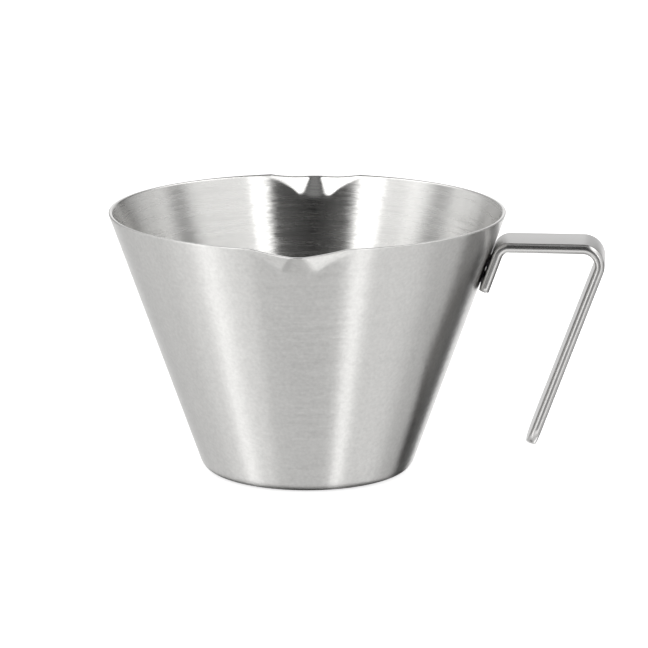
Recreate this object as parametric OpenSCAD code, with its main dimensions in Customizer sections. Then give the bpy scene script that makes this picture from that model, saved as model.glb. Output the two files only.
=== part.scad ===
// Small pouring pot for melted wax: a one-piece drawn steel cup with two pouring
// spouts, and a flat bar handle bent in two places and spot welded to its side.
// Millimetres, +Z up. The origin is the middle of the base, on the table.
// The handle points along +X. The spouts face each other, near +Y and -Y.

/* [Cup] */
// Outside diameter of the rim
rim_d = 76; // [60:1:110]
// Height of the rim above the table
cup_h = 50.5; // [36:0.5:80]
// Diameter at which the slanted wall, drawn on down, would meet the table
base_d = 40; // [30:1:56]
// Thickness of the steel sheet
wall = 0.7; // [0.5:0.1:1.2]
// Outside radius between the base and the wall
base_corner_r = 3; // [1.5:0.5:6]

/* [Spouts] */
// Width of each spout's mouth, across the rim
mouth_w = 20; // [19.5:0.5:26]
// How far each lip stands out past the rim
lip_reach = 2.9; // [2:0.1:4]
// Width of the dip in the rim at each spout
dip_w = 17; // [12:0.5:19]
// How far each lip lies below the rim
lip_drop = 0.9; // [0.4:0.1:1.5]
// How far below the rim each spout leaves the wall
spout_depth = 5; // [3.5:0.5:8]
// Outside radius along the bottom of each spout
valley_r = 5; // [2:0.5:6]
// How far the line through both lips is turned from square to the handle, in degrees
spout_turn = 3; // [-10:0.5:10]

/* [Handle] */
// Width of the flat bar, over its round edges
bar_w = 11.5; // [8:0.5:16]
// Thickness of the flat bar
bar_t = 1.9; // [1.2:0.1:2.4]
// Inside radius of the bend between the foot and the top bar
foot_bend_r = 1.4; // [1:0.1:2.2]
// Inside radius of the bend between the top bar and the leg
grip_bend_r = 2.3; // [1:0.1:5]
// Length of the foot, from its end to the corner of the first bend
foot_len = 9.3; // [8.7:0.1:16]
// Length of the top bar, from corner to corner
top_len = 20.2; // [16:0.1:36]
// Distance from the rim down to the middle of the top bar
top_drop = 5.7; // [5:0.1:12]
// Height of the leg's free end above the table
tip_h = 6; // [3:0.5:20]
// How far the leg leans in from upright, in degrees
leg_lean = 20; // [0:1:22]
// Corner radius at the leg's free end
tip_r = 4; // [1:0.5:4]
// Corner radius at the end of the foot
foot_corner_r = 1; // [0.5:0.5:3]

/* [Spot welds] */
// Diameter of each weld
weld_d = 2.5; // [2:0.1:3]
// Gap that the welds leave between the foot and the wall
weld_gap = 0.15; // [0.1:0.05:1]
// Distance between the middles of the two welds
weld_pitch = 3.3; // [3.1:0.1:3.6]
// Distance from the end of the foot to the middle of the lower weld
weld_inset = 1.9; // [1.6:0.1:2.2]

/* [Hidden] */
$fn = 96;
steel = "gainsboro";
satin_steel = "lightgray";
weld_grey = "darkgray";
// Straight pieces that a rounded corner, a bend and the bar's round edge are drawn with
corner_steps = 8;
bend_steps = 10;
edge_steps = 6;
// Least width of flat that a rounded end leaves across the bar
least_flat = 0.5;
// Cutting tools reach this far past what they cut
past = 5;

rim_r = rim_d / 2;
base_r = base_d / 2;
// Lean of the wall from upright
lean = atan2(rim_r - base_r, cup_h);
// Outside radius of the slanted wall at height z
function wall_r(z) = base_r + z * tan(lean);
// Middle of the rounded corner at the base, seen in section
corner_c = [base_r - base_corner_r * tan((90 - lean) / 2), base_corner_r];

// Each spout is a V-shaped trough whose bottom runs from root to lip
root = [0, wall_r(cup_h - spout_depth), cup_h - spout_depth];
lip = [0, rim_r + lip_reach, cup_h - lip_drop];
mouth = [mouth_w / 2, sqrt(pow(rim_r, 2) - pow(mouth_w / 2, 2)), cup_h];
// Rise of the trough's bottom above the level
rise = atan2(lip[2] - root[2], lip[1] - root[1]);
trough_len = norm(lip - root);
// How far the corners of the mouth lie behind the lip, square to the trough
mouth_back = (lip[1] - mouth[1]) * sin(rise) + (mouth[2] - lip[2]) * cos(rise);
// Slope of the two sides, so that they touch the round bottom and reach the mouth's corners
side_slope = asin(valley_r / norm([mouth[0], valley_r - mouth_back]))
    - atan2(valley_r - mouth_back, mouth[0]);

// The bar's middle line lies in the XZ plane. Headings are turned from +Z towards +X.
top_z = cup_h - top_drop;
foot_heading = lean;
top_heading = 90;
leg_heading = 180 + leg_lean;
function along(heading) = [sin(heading), cos(heading)];
foot_corner = [wall_r(top_z) + (weld_gap + bar_t / 2) / cos(lean), top_z];
leg_corner = foot_corner + top_len * along(top_heading);
foot_end = foot_corner - foot_len * along(foot_heading);
leg_end = leg_corner + (top_z - tip_h) / cos(leg_lean) * along(leg_heading);

// Cup ---------------------------------------------------------------------

// Half a section through the cup, inset from its outside, and open_up above the rim
module cup_section(inset, open_up) {
    side_x = rim_r - inset / cos(lean);
    polygon(concat(
        [[0, inset]],
        [for (i = [0 : corner_steps])
            let (a = -90 + i * (90 - lean) / corner_steps)
            corner_c + (base_corner_r - inset) * [cos(a), sin(a)]],
        [[side_x + open_up * tan(lean), cup_h + open_up], [0, cup_h + open_up]]
    ));
}

// The trough's section, inset from its outside: two sloping sides and a round bottom
module trough_section(inset) {
    r = valley_r - inset;
    reach = (mouth[0] + past) - r * sin(side_slope);
    edge = [mouth[0] + past, r * cos(side_slope) - valley_r - reach * tan(side_slope)];
    polygon(concat(
        [edge],
        [for (i = [0 : corner_steps])
            let (a = 90 - side_slope + 2 * i * side_slope / corner_steps)
            [r * cos(a), r * sin(a) - valley_r]],
        [[-edge[0], edge[1]],
         [-edge[0], edge[1] - 2 * past],
         [edge[0], edge[1] - 2 * past]]
    ));
}

// A solid trough that runs past the root and past the lip
module trough(inset, above) {
    translate(lip)
        rotate([rise - 90, 0, 0])
            translate([0, 0, -trough_len - past])
                linear_extrude(trough_len + past + above)
                    trough_section(inset);
}

// A round bar that hollows the rim down to the lip
module lip_cut() {
    cut_r = (pow(dip_w / 2, 2) + pow(lip_drop, 2)) / (2 * lip_drop);
    translate([0, mouth[1] - past, lip[2] + cut_r])
        rotate([-90, 0, 0])
            cylinder(r = cut_r, h = lip[1] - mouth[1] + 2 * past, $fn = 240);
}

module at_both_spouts() {
    for (side = [0, 180]) rotate([0, 0, spout_turn + side]) children();
}

// Everything above the rim
module above_rim() {
    translate([-rim_d, -rim_d, cup_h]) cube([2 * rim_d, 2 * rim_d, 4 * past]);
}

module cup_body() {
    color(steel)
    difference() {
        union() {
            rotate_extrude($fn = 180) cup_section(0, past);
            at_both_spouts() trough(0, past);
        }
        rotate_extrude($fn = 180) cup_section(wall, 2 * past);
        at_both_spouts() trough(wall, 2 * past);
        at_both_spouts() lip_cut();
        above_rim();
    }
}

// Handle ------------------------------------------------------------------

// The bar is swept through stations: [point on the middle line, heading, half the width].
// At an end, the stations round its two corners off to the radius wanted, as far as the
// bar is wide enough for it. Inwards leads into the bar.
function end_stations(end, inwards, heading, wanted_r) =
    let (r = min(wanted_r, (bar_w - bar_t - least_flat) / 2)) [
        for (i = [0 : corner_steps])
            let (a = i * 90 / corner_steps)
            [end + r * (1 - cos(a)) * along(inwards), heading, bar_w / 2 - r + r * sin(a)]
    ];

// Through a bend of inside radius r, from one heading to the next
function bend_stations(corner, from, to, r) =
    let (
        mid_r = r + bar_t / 2,
        start = corner - mid_r * tan((to - from) / 2) * along(from),
        centre = start + mid_r * along(from + 90)
    ) [
        for (i = [0 : bend_steps])
            let (heading = from + i * (to - from) / bend_steps)
            [centre - mid_r * along(heading + 90), heading, bar_w / 2]
    ];

function backwards(list) = [for (i = [len(list) - 1 : -1 : 0]) list[i]];

stations = concat(
    end_stations(foot_end, foot_heading, foot_heading, foot_corner_r),
    bend_stations(foot_corner, foot_heading, top_heading, foot_bend_r),
    bend_stations(leg_corner, top_heading, leg_heading, grip_bend_r),
    backwards(end_stations(leg_end, leg_heading + 180, leg_heading, tip_r))
);

// The bar's section at a station: flat faces, and a round edge on each side
function section_points(station) =
    let (across = along(station[1] + 90))
    [for (side = [1, -1], i = [0 : edge_steps])
        let (
            a = i * 180 / edge_steps,
            out = side * bar_t / 2 * cos(a),
            y = side * (station[2] - bar_t / 2 + bar_t / 2 * sin(a)),
            place = station[0] + out * across
        )
        [place[0], y, place[1]]];

module handle() {
    ring = 2 * (edge_steps + 1);
    last = len(stations) - 1;
    color(satin_steel)
    polyhedron(
        points = [for (station = stations) each section_points(station)],
        faces = concat(
            [[for (j = [ring - 1 : -1 : 0]) j]],
            [for (i = [0 : last - 1], j = [0 : ring - 1])
                let (k = (j + 1) % ring)
                [i * ring + j, i * ring + k, (i + 1) * ring + k, (i + 1) * ring + j]],
            [[for (j = [0 : ring - 1]) last * ring + j]]
        )
    );
}

// Spot welds --------------------------------------------------------------

// A disc of weld metal from the foot to the wall, along_foot from the foot's end
module spot_weld(along_foot) {
    color(weld_grey)
    difference() {
        translate([foot_end[0], 0, foot_end[1]])
            rotate([0, foot_heading, 0])
                translate([-bar_t / 2, 0, along_foot])
                    rotate([0, -90, 0])
                        cylinder(d = weld_d, h = weld_gap + wall / 2, $fn = 48);
        cylinder(r1 = base_r, r2 = rim_r, h = cup_h, $fn = 720);
    }
}

module lower_spot_weld() { spot_weld(weld_inset); }

module upper_spot_weld() { spot_weld(weld_inset + weld_pitch); }

cup_body();
handle();
lower_spot_weld();
upper_spot_weld();
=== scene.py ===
from math import atan, cos, degrees, pi, radians, sin, sqrt, tan

import bmesh
import bpy
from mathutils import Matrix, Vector


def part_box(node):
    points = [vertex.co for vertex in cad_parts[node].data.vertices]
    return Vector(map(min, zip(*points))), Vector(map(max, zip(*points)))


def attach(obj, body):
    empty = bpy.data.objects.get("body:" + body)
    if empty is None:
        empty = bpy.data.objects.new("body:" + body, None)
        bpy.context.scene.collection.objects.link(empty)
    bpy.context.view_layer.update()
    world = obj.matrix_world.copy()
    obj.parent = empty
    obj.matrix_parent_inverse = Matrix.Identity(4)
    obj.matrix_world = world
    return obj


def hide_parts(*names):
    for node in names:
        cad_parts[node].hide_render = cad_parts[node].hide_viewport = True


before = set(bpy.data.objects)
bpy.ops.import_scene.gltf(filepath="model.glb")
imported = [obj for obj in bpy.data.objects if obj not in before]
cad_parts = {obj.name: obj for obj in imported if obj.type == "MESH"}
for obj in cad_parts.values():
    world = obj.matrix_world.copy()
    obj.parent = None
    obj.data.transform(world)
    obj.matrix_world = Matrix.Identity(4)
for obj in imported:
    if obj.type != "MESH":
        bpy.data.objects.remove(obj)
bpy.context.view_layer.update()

# --- Camera -------------------------------------------------------------------
# A long lens looks slightly down at the pot, a little round to the side that the
# handle is on.

MM = 0.001
VIEW_TURN = radians(5.2)
VIEW_RISE = radians(12.95)
VIEW_DISTANCE = 700 * MM
AIM_RIGHT = 3.2 * MM
AIM_UP = 28.1 * MM
LENS_MM = 202.1

toward_camera = Vector((sin(VIEW_TURN), -cos(VIEW_TURN), 0))
right_of_camera = Vector((cos(VIEW_TURN), sin(VIEW_TURN), 0))
sight_line = toward_camera * cos(VIEW_RISE) + Vector((0, 0, sin(VIEW_RISE)))
aim = right_of_camera * AIM_RIGHT + Vector((0, 0, AIM_UP))

camera = bpy.data.objects.new("camera", bpy.data.cameras.new("camera"))
camera.data.lens = LENS_MM
camera.data.clip_start = 0.01
camera.location = aim + sight_line * VIEW_DISTANCE
camera.rotation_euler = sight_line.to_track_quat("Z", "Y").to_euler()
bpy.context.scene.collection.objects.link(camera)
bpy.context.scene.camera = camera


# --- Cup ----------------------------------------------------------------------
# One piece of thin stainless sheet, drawn into a cone with a rounded base edge.
# A punch has pressed a pouring spout into the rim on each side. The outside is
# finely brushed round and round, the inside more coarsely, and the rim is polished.

RIM_R = 38 * MM
CUP_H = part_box("cup_body")[1].z
BASE_R = 20 * MM
BASE_CORNER_R = 3 * MM
WALL = 0.7 * MM
MOUTH_HALF = 10 * MM
DIP_HALF = 9 * MM
LIP_REACH = 2.9 * MM
LIP_DROP = 0.9 * MM
SPOUT_DEPTH = 5 * MM
VALLEY_AT_ROOT = 9 * MM
VALLEY_AT_LIP = 2.7 * MM
CREASE_SOFT = 0.5 * MM
SPOUT_TURN = radians(3)
RIM_ROUNDING = 0.28 * MM


class Wire:
    """One value in a node tree. Arithmetic on wires adds the tree's Math nodes."""

    def __init__(self, graph, socket):
        self.graph = graph
        self.socket = socket

    def math(self, operation, *others):
        return self.graph.math(operation, self, *others)

    def __add__(self, other):
        return self.math("ADD", other)

    __radd__ = __add__

    def __sub__(self, other):
        return self.math("SUBTRACT", other)

    def __rsub__(self, other):
        return self.graph.math("SUBTRACT", other, self)

    def __mul__(self, other):
        return self.math("MULTIPLY", other)

    __rmul__ = __mul__

    def __truediv__(self, other):
        return self.math("DIVIDE", other)

    def __rtruediv__(self, other):
        return self.graph.math("DIVIDE", other, self)

    def __neg__(self):
        return self.math("MULTIPLY", -1)

    def root(self):
        return self.math("SQRT")

    def size(self):
        return self.math("ABSOLUTE")

    def clamped(self):
        return self.graph.add("ShaderNodeClamp", sockets={"Value": self})


class Graph:
    """A node tree being wired: add() makes one node of any type."""

    def __init__(self, tree):
        self.tree = tree

    def add(self, kind, settings=None, sockets=None, output=0):
        made = self.tree.nodes.new(kind)
        for name, value in (settings or {}).items():
            setattr(made, name, value)
        for name, value in (sockets or {}).items():
            if isinstance(value, Wire):
                self.tree.links.new(value.socket, made.inputs[name])
            else:
                made.inputs[name].default_value = value
        return Wire(self, made.outputs[output])

    def math(self, operation, *values):
        sockets = dict(enumerate(values))
        return self.add("ShaderNodeMath", {"operation": operation}, sockets)

    def vector(self, x, y, z):
        return self.add("ShaderNodeCombineXYZ", sockets={"X": x, "Y": y, "Z": z})

    def parts(self, vector):
        split = self.add("ShaderNodeSeparateXYZ", sockets={"Vector": vector})
        node = split.socket.node
        return [Wire(self, node.outputs[i]) for i in range(3)]

    def noise(self, vector, scale, detail, roughness=0.5):
        return self.add(
            "ShaderNodeTexNoise",
            sockets={
                "Vector": vector, "Scale": scale, "Detail": detail, "Roughness": roughness
            },
        )

    def blend(self, share, start, end):
        """A colour that goes from start to end as share goes from 0 to 1."""
        return self.add(
            "ShaderNodeMix", {"data_type": "RGBA"}, {"Factor": share, 6: start, 7: end}, output=2
        )

    def bump(self, height, distance, strength=1.0):
        sockets = {"Height": height, "Distance": distance, "Strength": strength}
        return self.add("ShaderNodeBump", sockets=sockets)

    def mark(self, geometry, domain, name, value):
        """Keeps a value on each point, edge or face of a shape, under a name."""
        return self.add(
            "GeometryNodeStoreNamedAttribute",
            {"data_type": "FLOAT", "domain": domain},
            {"Geometry": geometry, "Name": name, "Value": value},
        )

    def read(self, name):
        return self.add(
            "GeometryNodeInputNamedAttribute", {"data_type": "FLOAT"}, {"Name": name}
        )

    def close_up(self, geometry, reach):
        """Merges points within reach of each other, and shades the shape smooth."""
        merged = self.add(
            "GeometryNodeMergeByDistance", sockets={"Geometry": geometry, "Distance": reach}
        )
        return self.add("GeometryNodeSetShadeSmooth", sockets={"Geometry": merged})


def geometry_tree(name, sizes, materials):
    """A Geometry Nodes tree with one named input for each size and each material."""
    tree = bpy.data.node_groups.new(name, "GeometryNodeTree")
    tree.interface.new_socket("Geometry", in_out="OUTPUT", socket_type="NodeSocketGeometry")
    for size in sizes:
        tree.interface.new_socket(size, in_out="INPUT", socket_type="NodeSocketFloat")
    for material in materials:
        tree.interface.new_socket(material, in_out="INPUT", socket_type="NodeSocketMaterial")
    graph = Graph(tree)
    inputs = tree.nodes.new("NodeGroupInput")
    sockets = {socket.name: Wire(graph, socket) for socket in inputs.outputs if socket.name}
    return graph, sockets


def finish_tree(graph, geometry, *dressings):
    """Ends a tree: real geometry, with each material set on the faces where a value is 1."""
    last = graph.add("GeometryNodeRealizeInstances", sockets={"Geometry": geometry})
    for material, where in dressings:
        last = graph.add(
            "GeometryNodeSetMaterial",
            sockets={"Geometry": last, "Selection": where, "Material": material},
        )
    end = graph.tree.nodes.new("NodeGroupOutput")
    graph.tree.links.new(last.socket, end.inputs["Geometry"])


def grow(name, graph, values):
    """Runs a tree with these input values and keeps its result as a plain mesh object."""
    piece = bpy.data.objects.new(name, bpy.data.meshes.new(name))
    bpy.context.scene.collection.objects.link(piece)
    modifier = piece.modifiers.new("shape", "NODES")
    modifier.node_group = graph.tree
    for item in graph.tree.interface.items_tree:
        if item.in_out == "INPUT":
            modifier[item.identifier] = values[item.name]
    settle(piece)
    return piece


def settle(piece):
    """Applies every modifier on a piece, which leaves it a plain mesh."""
    bpy.context.view_layer.update()
    solved = piece.evaluated_get(bpy.context.evaluated_depsgraph_get())
    mesh = bpy.data.meshes.new_from_object(solved)
    piece.modifiers.clear()
    piece.data = mesh
    mesh.name = piece.name


def ease_marked_edges(piece, width):
    """Rounds the edges that the piece's tree has marked."""
    rounding = piece.modifiers.new("rounding", "BEVEL")
    rounding.width = width
    rounding.segments = 3
    rounding.limit_method = "WEIGHT"
    settle(piece)


def new_material(name, principled):
    """A material whose Principled shader has these fixed socket values."""
    material = bpy.data.materials.new(name)
    material.use_nodes = True
    graph = Graph(material.node_tree)
    shader = material.node_tree.nodes["Principled BSDF"]
    for socket, value in principled.items():
        shader.inputs[socket].default_value = value
    return material, graph, shader


def feed(graph, shader, **wires):
    """Links wires to the shader's sockets, which are named with _ for a space."""
    for name, wire in wires.items():
        graph.tree.links.new(wire.socket, shader.inputs[name.replace("_", " ")])


STEEL = (0.68, 0.675, 0.661, 1)
STEEL_DARK = (0.42, 0.417, 0.409, 1)


def turned_steel(
    name, roughness, stroke_depth, stroke_shine, stroke_sway, grain_tone, brushed=1.0
):
    """Stainless steel brushed round and round the Z axis.

    stroke_depth is how deep the strokes are, stroke_shine how much they differ in shine and
    tone, stroke_sway how much each leans round the turn, and grain_tone how much the fine
    grain between them differs in tone.
    """
    material, graph, shader = new_material(
        name, {"Metallic": 1.0, "Anisotropic": brushed, "Anisotropic Rotation": 0.25}
    )
    place = graph.add("ShaderNodeTexCoord", output="Object")
    x, y, z = graph.parts(place)
    ring = (x * x + y * y).root() + 0.1 * MM
    # climbs along the sheet: outwards across the base, then up the wall
    climb = z + ring

    def strokes(per_turn, per_metre, seed):
        """Noise drawn out round the turn, with this many strokes in a metre of climb."""
        around = per_turn / ring
        drawn_out = graph.vector(x * around + seed, y * around, climb * per_metre)
        return graph.noise(drawn_out, 1.0, 2.0, 0.6)

    def spots(per_metre):
        return graph.noise(place, per_metre, 3.0, 0.55)

    hairlines = strokes(8, 4000, 3)
    lines = strokes(2, 1000, 11)
    bands = strokes(1.2, 420, 29)
    stains = spots(55.0)
    grain = spots(1500.0)
    tone = (lines * 0.5 + bands * 0.3 + hairlines * 0.2 - 0.5) * stroke_shine * 0.8
    worn = (0.67 + tone + (stains - 0.5) * 0.15 + (grain - 0.5) * grain_tone).clamped()
    colour = graph.blend(worn, STEEL_DARK, STEEL)
    shine = (lines * 0.6 + hairlines * 0.4 - 0.5) * stroke_shine * 0.4
    rough = roughness + shine + (stains - 0.5) * 0.05
    relief = hairlines * 0.35 + lines * 0.35 + bands * 0.1 + grain * 0.2
    bump = graph.bump(relief, stroke_depth)
    # each stroke also leans a little one way or the other round the turn
    sway = (strokes(24, 3000, 41) + strokes(6, 1000, 53) - 1) * stroke_sway
    leaned = graph.add(
        "ShaderNodeVectorMath",
        {"operation": "MULTIPLY_ADD"},
        {0: graph.vector(-y / ring, x / ring, 0.0), 1: graph.vector(sway, sway, 0.0), 2: bump},
    )
    normal = graph.add("ShaderNodeVectorMath", {"operation": "NORMALIZE"}, {0: leaned})
    feed(graph, shader, Base_Color=colour, Roughness=rough, Normal=normal)
    return material


lean = atan((RIM_R - BASE_R) / CUP_H)
root_up = CUP_H - SPOUT_DEPTH
root_out = BASE_R + root_up * tan(lean)
lip_out = RIM_R + LIP_REACH
mouth_out = sqrt(RIM_R ** 2 - MOUTH_HALF ** 2)
trough_rise = (SPOUT_DEPTH - LIP_DROP) / (lip_out - root_out)
# height of the trough's side over its bottom line, at the corner of the mouth
mouth_climb = SPOUT_DEPTH - (mouth_out - root_out) * trough_rise
corner_middle = BASE_R - BASE_CORNER_R * tan((pi / 2 - lean) / 2)

graph, size = geometry_tree(
    "cup skin",
    [
        "Height", "Wall slope", "Sheet", "Corner radius", "Corner middle", "Corner turn",
        "Spout turn", "Root height", "Root radius", "Trough rise", "Mouth climb", "Mouth half",
        "Valley at root", "Valley at lip", "Dip half", "Lip drop", "Crease", "Rim step",
    ],
    ["Outside steel", "Rim steel", "Inside steel"],
)
AROUND = 520
UP = 76
ROW = 1 / (2 * UP - 1)
COLUMN_CROWDING = 0.28
ROW_CROWDING = 1.7
# the share of the rows that crosses the flat of the base, and the share below the wall
FLAT_SHARE = 0.1
CORNER_SHARE = 0.24
LAST_STEP = 1 / (UP - 1) / (1 - CORNER_SHARE)
# the rim's dips lie this far out from the roots of the spouts
DIP_OUT = 2 * MM
# each trough ends within this turn of its lip
TROUGH_TURN = radians(30)
POINTS_MEET = 0.002 * MM

sheet = graph.add(
    "GeometryNodeMeshGrid",
    sockets={"Size X": 1.0, "Size Y": 1.0, "Vertices X": AROUND + 1, "Vertices Y": 2 * UP},
)
across, along, _ = graph.parts(graph.add("GeometryNodeInputPosition"))
# rows climb the outside to the rim, which is one row of faces, and go down the inside
inside = along.math("GREATER_THAN", 0)
up = (0.5 - along.size()) / (0.5 - ROW / 2)
depth = inside * size["Sheet"]
# the columns crowd together at the two spouts
turn = (across + 0.5) * (2 * pi)
from_lip = turn - COLUMN_CROWDING * (turn * 2).math("SINE")
sideways = from_lip.math("SINE")
forwards = from_lip.math("COSINE").size()
# the rows go across the flat of the base, round its corner and up the wall
on_flat = (up / FLAT_SHARE).clamped()
on_corner = ((up - FLAT_SHARE) / (CORNER_SHARE - FLAT_SHARE)).clamped() * size["Corner turn"]
on_wall = ((up - CORNER_SHARE) / (1 - CORNER_SHARE) / (1 - LAST_STEP)).clamped()
# and crowd together towards the rim, but for one wider step that its rounding needs
climbed = 1 - (1 - on_wall).math("POWER", ROW_CROWDING)
rim_step = size["Rim step"] * up.math("GREATER_THAN", 1 - 0.5 / (UP - 1))
corner_r = size["Corner radius"] - depth
corner_top = size["Corner radius"] - corner_r * size["Corner turn"].math("COSINE")
# the rim dips where it passes each lip
off_lip = sideways * (size["Root radius"] + DIP_OUT) / size["Dip half"]
dip = size["Lip drop"] * (1 - off_lip * off_lip).math("MAXIMUM", 0)
on_wall_up = climbed * (size["Height"] - dip - corner_top - size["Rim step"]) + rim_step
height = size["Corner radius"] - corner_r * on_corner.math("COSINE") + on_wall_up
cone = (
    size["Corner middle"] * on_flat
    + corner_r * on_corner.math("SINE")
    + on_wall_up * size["Wall slope"]
)
# each spout is a V-shaped trough: a round valley, wider at its root than at its lip,
# between two flat sides
toward_lip = ((height - size["Root height"]) / (size["Height"] - size["Root height"])).clamped()
valley = size["Valley at root"] + toward_lip * (size["Valley at lip"] - size["Valley at root"])
half = size["Mouth half"]
drop = valley - size["Mouth climb"]
side_turn = (valley / (half * half + drop * drop).root()).math("ARCSINE") - drop.math(
    "ARCTAN2", half
)
side_slope = side_turn.math("TANGENT")
# the sheet's thickness raises the inside of the trough and tightens its valley
rise = size["Trough rise"]
along_slope = (1 + rise * rise).root()
flank_slope = (1 + rise * rise + side_slope * side_slope).root()
valley_gap = 1 / side_turn.math("COSINE") - 1
valley = valley - depth * (flank_slope - along_slope) / valley_gap
out_share = rise * forwards
level = height - size["Root height"] + size["Root radius"] * rise - depth * along_slope
flat_side = (level + valley * valley_gap) / (out_share + side_slope * sideways.size())
above = level - valley
spread = out_share * out_share + sideways * sideways
reach = out_share * above
round_valley = (
    reach
    + (reach * reach - spread * (above * above - valley * valley)).math("MAXIMUM", 0).root()
) / spread
in_valley = (round_valley * sideways.size()).math("LESS_THAN", valley * side_turn.math("SINE"))
trough = flat_side + in_valley * (round_valley - flat_side)
# the trough counts only near its own lip, and meets the wall in a soft crease
near_lip = forwards.math("GREATER_THAN", cos(TROUGH_TURN))
nearness = (1 - (cone - trough).size() / size["Crease"]).math("MAXIMUM", 0) * near_lip
radius = cone.math("MAXIMUM", trough * near_lip) + nearness * nearness * size["Crease"] / 4
bearing = from_lip + size["Spout turn"] + pi / 2

# the inside, the rim and both edges of the rim are marked while the sheet is still flat
off_rim = along.size() / ROW
sheet = graph.mark(sheet, "FACE", "inside_face", inside)
sheet = graph.mark(sheet, "FACE", "rim_face", off_rim.math("LESS_THAN", 0.25))
rim_edge = (off_rim - 0.5).size().math("LESS_THAN", 0.1)
sheet = graph.mark(sheet, "EDGE", "bevel_weight_edge", rim_edge)
skin = graph.add(
    "GeometryNodeSetPosition",
    sockets={
        "Geometry": sheet,
        "Position": graph.vector(
            radius * bearing.math("COSINE"), radius * bearing.math("SINE"), height
        ),
    },
)
finish_tree(
    graph,
    graph.close_up(skin, POINTS_MEET),
    (size["Outside steel"], True),
    (size["Inside steel"], graph.read("inside_face")),
    (size["Rim steel"], graph.read("rim_face")),
)

outside_steel = turned_steel(
    "outside_brushed_steel", roughness=0.36, stroke_depth=0.006 * MM, stroke_shine=0.45,
    stroke_sway=0.05, grain_tone=0.75,
)
inside_steel = turned_steel(
    "inside_brushed_steel", roughness=0.25, stroke_depth=0.007 * MM, stroke_shine=0.9,
    stroke_sway=0.035, grain_tone=0.25,
)
rim_steel = turned_steel(
    "polished_rim_steel", roughness=0.18, stroke_depth=0.001 * MM, stroke_shine=0.3,
    stroke_sway=0.0, grain_tone=0.2, brushed=0.3,
)

cup = grow(
    "cup",
    graph,
    {
        "Height": CUP_H,
        "Wall slope": tan(lean),
        "Sheet": WALL,
        "Corner radius": BASE_CORNER_R,
        "Corner middle": corner_middle,
        "Corner turn": pi / 2 - lean,
        "Spout turn": SPOUT_TURN,
        "Root height": root_up,
        "Root radius": root_out,
        "Trough rise": trough_rise,
        "Mouth climb": mouth_climb,
        "Mouth half": MOUTH_HALF,
        "Valley at root": VALLEY_AT_ROOT,
        "Valley at lip": VALLEY_AT_LIP,
        "Dip half": DIP_HALF,
        "Lip drop": LIP_DROP,
        "Crease": CREASE_SOFT,
        "Rim step": 1.5 * RIM_ROUNDING,
        "Outside steel": outside_steel,
        "Inside steel": inside_steel,
        "Rim steel": rim_steel,
    },
)
ease_marked_edges(cup, RIM_ROUNDING)
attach(cup, "root")
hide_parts("cup_body")


# --- Handle -------------------------------------------------------------------
# A length of flat stainless bar with round edges, bent twice: a short foot that lies
# along the wall, a level top for the finger, and a long leg with a rounded end.

BAR_W = 11.5 * MM
BAR_T = 1.9 * MM
FOOT_BEND_R = 1.4 * MM
GRIP_BEND_R = 2.3 * MM
FOOT_LEN = 9.3 * MM
TOP_LEN = 20.2 * MM
TOP_DROP = 5.7 * MM
TIP_UP = 6 * MM
LEG_LEAN = radians(20)
TIP_R = 4 * MM
FOOT_CORNER_R = 1 * MM
WELD_GAP = 0.15 * MM
BAR_ENDS_EASED = 0.25 * MM
BAR_STEEL = (0.54, 0.533, 0.526, 1)
BAR_STEEL_DARK = (0.42, 0.415, 0.41, 1)

top_up = CUP_H - TOP_DROP
foot_corner_out = BASE_R + top_up * tan(lean) + (WELD_GAP + BAR_T / 2) / cos(lean)
foot_corner = Vector((foot_corner_out, 0, top_up))
leg_corner = foot_corner + Vector((TOP_LEN, 0, 0))
foot_end = foot_corner - FOOT_LEN * Vector((sin(lean), 0, cos(lean)))
leg_end = leg_corner - (top_up - TIP_UP) * Vector((tan(LEG_LEAN), 0, 1))

bar_steel, graph, shader = new_material("satin_bar_steel", {"Metallic": 1.0})
place = graph.add("ShaderNodeTexCoord", output="Object")
run = graph.add("ShaderNodeAttribute", {"attribute_name": "along_bar"}, output="Fac")
_, y, _ = graph.parts(place)
# the grain is drawn out along the bar
grain = graph.noise(graph.vector(run * 160, y * 5200, 0.0), 1.0, 2.0, 0.6)
clouds = graph.noise(place, 90.0, 3.0)
worn = (0.7 + (grain - 0.5) * 0.8 + (clouds - 0.5) * 0.4).clamped()
colour = graph.blend(worn, BAR_STEEL_DARK, BAR_STEEL)
bump = graph.bump(grain + clouds * 0.6, 0.003 * MM)
# the flats are satin, and the round edges have been polished
on_edge = ((y.size() - (BAR_W - BAR_T) / 2) / (0.3 * MM)).clamped()
rough = 0.34 - on_edge * 0.08 + (grain - 0.5) * 0.16 + (clouds - 0.5) * 0.1
feed(graph, shader, Base_Color=colour, Roughness=rough, Normal=bump)

graph, size = geometry_tree(
    "bent bar",
    ["Foot end X", "Foot end Z", "Foot corner X", "Top Z", "Leg corner X", "Leg end X",
     "Leg end Z", "Foot bend radius", "Grip bend radius", "Width", "Thickness",
     "Foot corner rounding", "Tip rounding"],
    ["Bar steel"],
)
BEND_POINTS = 24
STATIONS = 260
EDGE_POINTS = 7
# just under half the thickness, so that each round edge is two arcs until they are merged
EDGE_ROUNDING = 0.499
EDGE_LINES_MEET = 0.01 * MM

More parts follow.
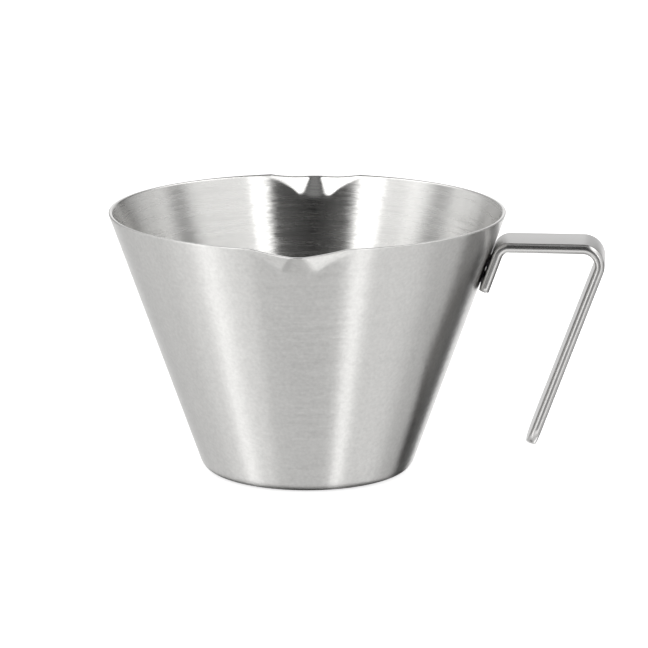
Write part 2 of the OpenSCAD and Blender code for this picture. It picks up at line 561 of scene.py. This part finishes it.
route = graph.add(
    "GeometryNodeCurvePrimitiveQuadrilateral",
    {"mode": "POINTS"},
    {
        "Point 1": graph.vector(size["Foot end X"], 0.0, size["Foot end Z"]),
        "Point 2": graph.vector(size["Foot corner X"], 0.0, size["Top Z"]),
        "Point 3": graph.vector(size["Leg corner X"], 0.0, size["Top Z"]),
        "Point 4": graph.vector(size["Leg end X"], 0.0, size["Leg end Z"]),
    },
)
opened = graph.add(
    "GeometryNodeSetSplineCyclic", sockets={"Geometry": route, "Cyclic": False}
)
point = graph.add("GeometryNodeInputIndex")
at_grip = point.math("GREATER_THAN", 1.5)
mid_r = (
    size["Foot bend radius"]
    + at_grip * (size["Grip bend radius"] - size["Foot bend radius"])
    + size["Thickness"] / 2
)
bent = graph.add(
    "GeometryNodeFilletCurve",
    {"mode": "POLY"},
    {"Curve": opened, "Count": BEND_POINTS, "Radius": mid_r},
)
stations = graph.add(
    "GeometryNodeResampleCurve", {"mode": "COUNT"}, {"Curve": bent, "Count": STATIONS}
)
length = graph.add("GeometryNodeSplineParameter", output="Length")
whole = graph.add("GeometryNodeSplineLength", output="Length")
stations = graph.mark(stations, "POINT", "along_bar", length)
stations = graph.mark(stations, "POINT", "to_tip", whole - length)
section = graph.add(
    "GeometryNodeCurvePrimitiveQuadrilateral",
    {"mode": "RECTANGLE"},
    {"Width": size["Width"], "Height": size["Thickness"]},
)
section = graph.add(
    "GeometryNodeFilletCurve",
    {"mode": "POLY"},
    {
        "Curve": section,
        "Count": EDGE_POINTS,
        "Radius": size["Thickness"] * EDGE_ROUNDING,
        "Limit Radius": True,
    },
)
bar = graph.add(
    "GeometryNodeCurveToMesh",
    sockets={"Curve": stations, "Profile Curve": section, "Fill Caps": True},
)
run = graph.read("along_bar")
to_tip = graph.read("to_tip")


def narrowing(distance, rounding):
    """How much of the bar's half width a rounded corner takes off, this far from the end."""
    short = (1 - distance / rounding).math("MAXIMUM", 0)
    return rounding * (1 - (1 - short * short).math("MAXIMUM", 0).root())


x, y, z = graph.parts(graph.add("GeometryNodeInputPosition"))
taken = narrowing(to_tip, size["Tip rounding"]) + narrowing(run, size["Foot corner rounding"])
half_flat = (size["Width"] - size["Thickness"]) / 2
share = 1 - taken / half_flat
flat_part = y.size().math("MINIMUM", half_flat)
new_y = y.math("SIGN") * (y.size() - flat_part + flat_part * share)
trimmed = graph.add(
    "GeometryNodeSetPosition", sockets={"Geometry": bar, "Position": graph.vector(x, new_y, z)}
)
# the two halves of each round edge meet in one line
bar = graph.close_up(trimmed, EDGE_LINES_MEET)
# the edges round both ends are marked for easing
end_edge = run.math("MINIMUM", to_tip).math("LESS_THAN", 0.01 * MM)
bar = graph.mark(bar, "EDGE", "bevel_weight_edge", end_edge)
finish_tree(graph, bar, (size["Bar steel"], True))

handle = grow(
    "bar_handle",
    graph,
    {
        "Foot end X": foot_end.x,
        "Foot end Z": foot_end.z,
        "Foot corner X": foot_corner.x,
        "Top Z": top_up,
        "Leg corner X": leg_corner.x,
        "Leg end X": leg_end.x,
        "Leg end Z": leg_end.z,
        "Foot bend radius": FOOT_BEND_R,
        "Grip bend radius": GRIP_BEND_R,
        "Width": BAR_W,
        "Thickness": BAR_T,
        "Foot corner rounding": FOOT_CORNER_R,
        "Tip rounding": TIP_R,
        "Bar steel": bar_steel,
    },
)
ease_marked_edges(handle, BAR_ENDS_EASED)
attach(handle, "root")
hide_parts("handle")


# --- Spot welds ---------------------------------------------------------------
# Two spots of melted steel join the foot to the wall. They are dull and slightly
# blued by the heat.

WELD_BROWN = (0.14, 0.12, 0.1, 1)
WELD_BLUE = (0.2, 0.21, 0.25, 1)

weld_metal, graph, shader = new_material("weld_metal", {"Metallic": 1.0})
place = graph.add("ShaderNodeTexCoord", output="Object")
ripple = graph.noise(place, 1600.0, 3.0)
colour = graph.blend(ripple, WELD_BROWN, WELD_BLUE)
bump = graph.bump(ripple, 0.05 * MM, strength=0.6)
feed(graph, shader, Base_Color=colour, Roughness=0.35 + ripple * 0.3, Normal=bump)
for name in ("lower_spot_weld", "upper_spot_weld"):
    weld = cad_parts[name]
    weld.data.materials.clear()
    weld.data.materials.append(weld_metal)


# --- Table and light ----------------------------------------------------------
# A plain white sheet to stand on. Tall soft lamps and dark screens stand round it, the
# room is dark behind the camera, and two long lamps hang overhead.

FLOOR_HALF = 6.0
SHADE_REACH = 0.5 * MM
SHADE_UNDER = 0.02 * MM

floor = bpy.data.objects.new("floor", bpy.data.meshes.new("floor"))
shape = bmesh.new()
bmesh.ops.create_grid(shape, x_segments=1, y_segments=1, size=FLOOR_HALF)
shape.to_mesh(floor.data)
shape.free()
bpy.context.scene.collection.objects.link(floor)
white_table, _, _ = new_material(
    "white_table",
    {
        "Base Color": (0.5, 0.5, 0.5, 1),
        "Roughness": 0.9,
        "Emission Color": (1, 1, 1, 1),
        "Emission Strength": 0.75,
    },
)
floor.data.materials.append(white_table)
# the steel mirrors the lamps and screens that stand low round the pot, not the sheet
floor.visible_glossy = False

# under the pot the steel mirrors only this dark card: a painted shadow that stands in for the
# shaded table under the pot, seen only in the steel
shade = bpy.data.objects.new("shade", bpy.data.meshes.new("shade"))
shape = bmesh.new()
bmesh.ops.create_circle(shape, cap_ends=True, segments=96, radius=BASE_R + SHADE_REACH)
bmesh.ops.translate(shape, verts=shape.verts, vec=(0, 0, -SHADE_UNDER))
shape.to_mesh(shade.data)
shape.free()
bpy.context.scene.collection.objects.link(shade)
shade_card, _, _ = new_material(
    "shade_card", {"Base Color": (0.02, 0.02, 0.02, 1), "Roughness": 1.0}
)
shade.data.materials.append(shade_card)
shade.visible_camera = False
shade.visible_diffuse = False
shade.visible_shadow = False

world = bpy.data.worlds.new("studio")
world.use_nodes = True
bpy.context.scene.world = world
graph = Graph(world.node_tree)
gaze = graph.add("ShaderNodeTexCoord", output="Generated")


def component(axis):
    """How far the gaze points along a direction."""
    return graph.add(
        "ShaderNodeVectorMath",
        {"operation": "DOT_PRODUCT"},
        {0: gaze, 1: tuple(axis)},
        output="Value",
    )


bearing = component(right_of_camera).math("ARCTAN2", component(toward_camera)) * degrees(1)


def lit(middle, half_width, soft):
    """1 within half_width degrees of a bearing from the camera, falling to 0 over soft degrees."""
    return ((half_width - (bearing - middle).size()) / soft + 0.5).clamped()


# lamps and screens by bearing: middle, half width and softness in degrees, and what each
# adds below and above the level of the table
STUDIO = [
    (0, 30, 8, 0.52, 0.0),
    (-3, 28, 8, 0.0, -1.08),
    (-3, 8, 16, 0.0, -0.12),
    (31, 6, 4, 0.0, 1.8),
    (34, 5, 6, 1.3, 0.0),
    (60, 14, 10, 0.0, -0.08),
    (85, 22, 15, -0.2, 0.0),
    (90, 7, 8, 0.0, -0.7),
    (124, 22, 26, 0.0, -0.22),
    (149, 8, 10, 0.0, -0.4),
    (162, 9, 8, 0.5, 0.3),
    (180, 45, 30, 0.0, -0.7),
    (180, 8, 6, 0.0, 0.6),
    (-41, 8, 5, 0.0, 1.8),
    (-64, 6, 6, 1.8, 0.0),
    (-74, 7, 6, 0.0, 0.38),
    (-84, 12, 14, 0.3, 0.0),
    (-93, 7, 7, 0.0, -0.5),
    (-145, 20, 20, -0.2, 0.0),
    (-164, 8, 8, 0.4, 0.0),
    (-180, 45, 30, 0.0, -0.7),
    (-180, 8, 6, 0.0, 0.6),
]
below = 1.0
above = 1.2
for middle, half_width, soft, adds_below, adds_above in STUDIO:
    lamp = lit(middle, half_width, soft)
    below = below + lamp * adds_below
    above = above + lamp * adds_above
up = component((0, 0, 1))
# a black screen leans towards the pot on the handle's side
screen = lit(113 - 48 * up.math("MINIMUM", 0), 18, 8)
below = below * (1 - screen)


def higher_than(level, soft):
    """0 where the gaze points lower than a level, 1 where it points higher."""
    return ((up - level) / soft + 0.5).clamped()


# the dark behind the camera reaches down to the near edge of the table
below = below - 1.2 * higher_than(-0.38, 0.2) * lit(0, 28, 12)
# close round the pot the sheet is lit from behind, on the handle's side
behind = 2.6 * lit(140, 30, 20) - 0.9 * lit(-140, 30, 20)
close_by = 1.0 + behind * higher_than(-0.93, 0.06)
below = close_by + higher_than(-0.8, 0.1) * (below - close_by)
sides = below + higher_than(0, 0.16) * (above - below)
# overhead are two long lamps with a dimmer gap between them, in line with the camera
aside = component(right_of_camera).size()
gap = 0.03 + 0.45 * higher_than(0.95, 0.04)
long_lamp = ((aside - 0.4) / 0.1 + 0.5).clamped()
overhead = gap + 2.6 * long_lamp
glow = sides + higher_than(0.65, 0.15) * (overhead - sides)
background = world.node_tree.nodes["Background"]
world.node_tree.links.new(glow.socket, background.inputs["Color"])

bpy.context.scene.view_settings.view_transform = "Standard"
